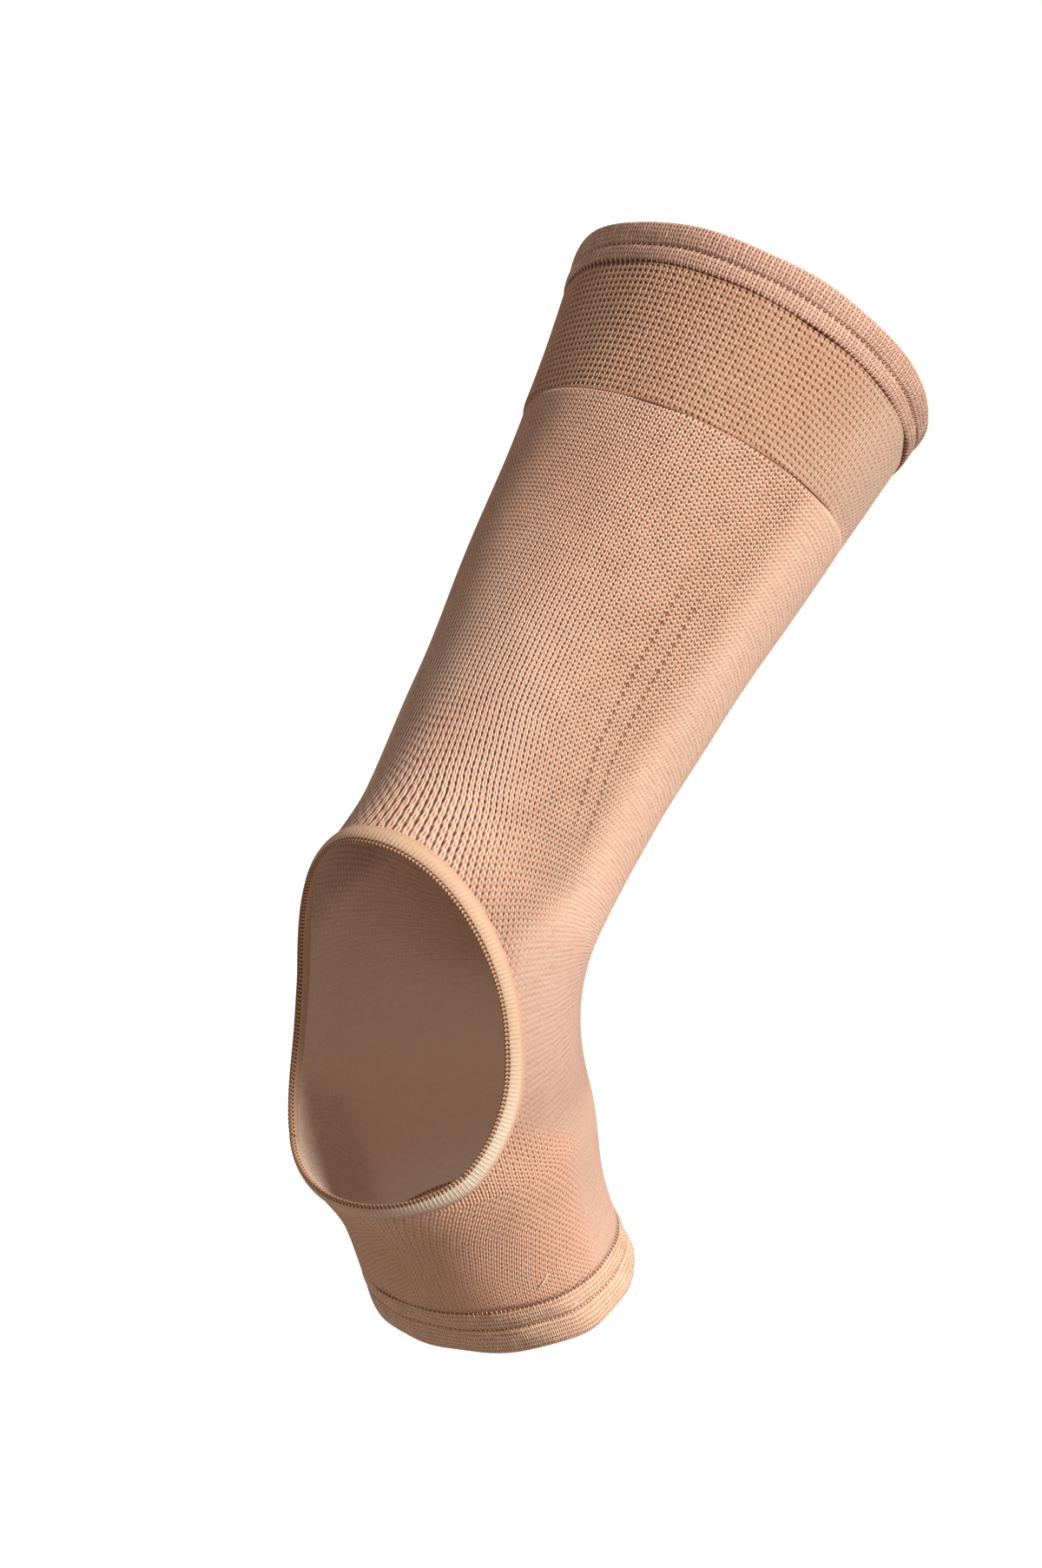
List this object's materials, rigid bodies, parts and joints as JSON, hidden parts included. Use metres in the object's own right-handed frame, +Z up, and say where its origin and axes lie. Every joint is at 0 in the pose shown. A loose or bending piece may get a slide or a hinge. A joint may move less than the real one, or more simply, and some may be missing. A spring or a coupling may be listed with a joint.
{
  "type": "open-heel ankle brace",
  "caption": "Open-heel elastic knit ankle brace: a bent tube from mid calf to instep, with folded hems and a bound heel opening.",
  "frame": {"origin": "centre of the tube at the ankle, half way round its bend, where it is worn", "axes": "+Z is up in the worn pose, +X points to the toes, and the XZ plane parts the inner and outer sides"},
  "size_m": [0.2232, 0.1142, 0.3116],
  "materials": {
    "hem_knit": "fine ribbed elastic knit",
    "cuff_knit": "open mesh elastic knit",
    "sleeve_knit": "fine elastic knit",
    "binding": "soft pale elastic binding"
  },
  "bodies": {
    "root": {"top_hem": "hem_knit", "cuff_band": "cuff_knit", "knit_sleeve": "sleeve_knit", "heel_binding": "binding", "foot_hem": "hem_knit"}
  },
  "joints": []
}
